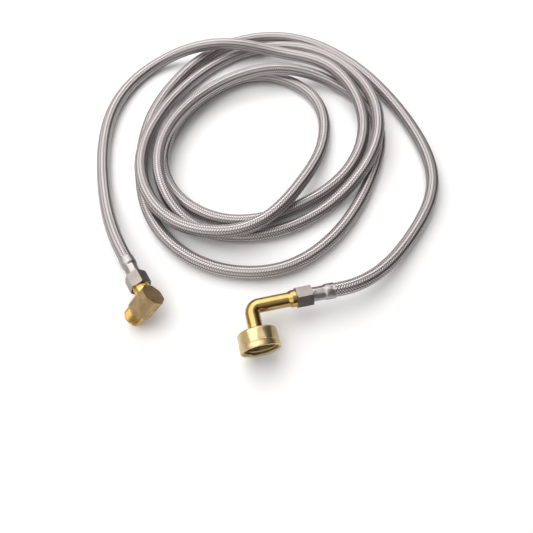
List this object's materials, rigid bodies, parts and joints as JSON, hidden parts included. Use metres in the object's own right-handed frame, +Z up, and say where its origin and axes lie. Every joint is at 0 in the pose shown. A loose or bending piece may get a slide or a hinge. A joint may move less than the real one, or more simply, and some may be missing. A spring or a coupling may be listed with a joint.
{
  "type": "braided supply line",
  "caption": "Flexible metal-braided water hose laid in loose loops, with a crimped swivel nut at each end, a block elbow with a pipe nipple and a bent tube elbow with a hose coupling.",
  "frame": {"origin": "on the surface that the line lies on, under the middle of the box around the end fittings", "axes": "+Z up from the surface; +X and +Y in the surface, with the fittings on the -Y side of the loops"},
  "size_m": [0.3232, 0.3875, 0.0328],
  "materials": {
    "steel_braid": "woven stainless wire, warm grey, semi-gloss",
    "ferrule_steel": "thin stainless sheet, bright, crimped",
    "nickel_plate": "satin nickel plate",
    "bar_brass": "tumbled bar brass, satin",
    "polished_brass": "polished drawn tube",
    "satin_brass": "pale satin machined brass",
    "black_rubber": "matt black",
    "tube_plastic": "milky, matt"
  },
  "bodies": {
    "hose": {"braid_sleeve": "steel_braid", "inner_tube": "tube_plastic", "left_ferrule": "ferrule_steel", "right_ferrule": "ferrule_steel", "left_insert_stem": "bar_brass", "right_insert_stem": "bar_brass", "left_cone_gasket": "black_rubber", "right_cone_gasket": "black_rubber"},
    "left_nut": {"left_swivel_nut": "nickel_plate"},
    "right_nut": {"right_swivel_nut": "nickel_plate"},
    "left_elbow": {"block_elbow": "bar_brass"},
    "right_elbow": {"tube_elbow": "polished_brass"},
    "coupling": {"coupling_nut": "satin_brass"},
    "washer": {"hose_washer": "black_rubber"}
  },
  "joints": [
    {"name": "left_nut_spin", "type": "hinge", "parent": "hose", "child": "left_nut", "pos_m": [-0.0595, 0.0005, 0.02046], "axis": [-0.5071, 0.8608, -0.0436], "continuous": true},
    {"name": "right_nut_spin", "type": "hinge", "parent": "hose", "child": "right_nut", "pos_m": [0.0208, -0.0049, 0.01965], "axis": [0.972, 0.2334, -0.0262], "continuous": true},
    {"name": "left_elbow_swivel", "type": "hinge", "parent": "hose", "child": "left_elbow", "pos_m": [-0.0595, 0.0005, 0.02046], "axis": [-0.5071, 0.8608, -0.0436], "continuous": true},
    {"name": "right_elbow_swivel", "type": "hinge", "parent": "hose", "child": "right_elbow", "pos_m": [0.0208, -0.0049, 0.01965], "axis": [-0.972, -0.2334, 0.0262], "range_deg": [-110, 145]},
    {"name": "coupling_spin", "type": "hinge", "parent": "right_elbow", "child": "coupling", "pos_m": [0.0208, -0.0049, 0.01965], "axis": [0.2291, -0.9668, -0.1132], "continuous": true},
    {"name": "washer_slide", "type": "slide", "parent": "coupling", "child": "washer", "axis": [0.2291, -0.9668, -0.1132], "range_m": [0, 0.014]}
  ]
}
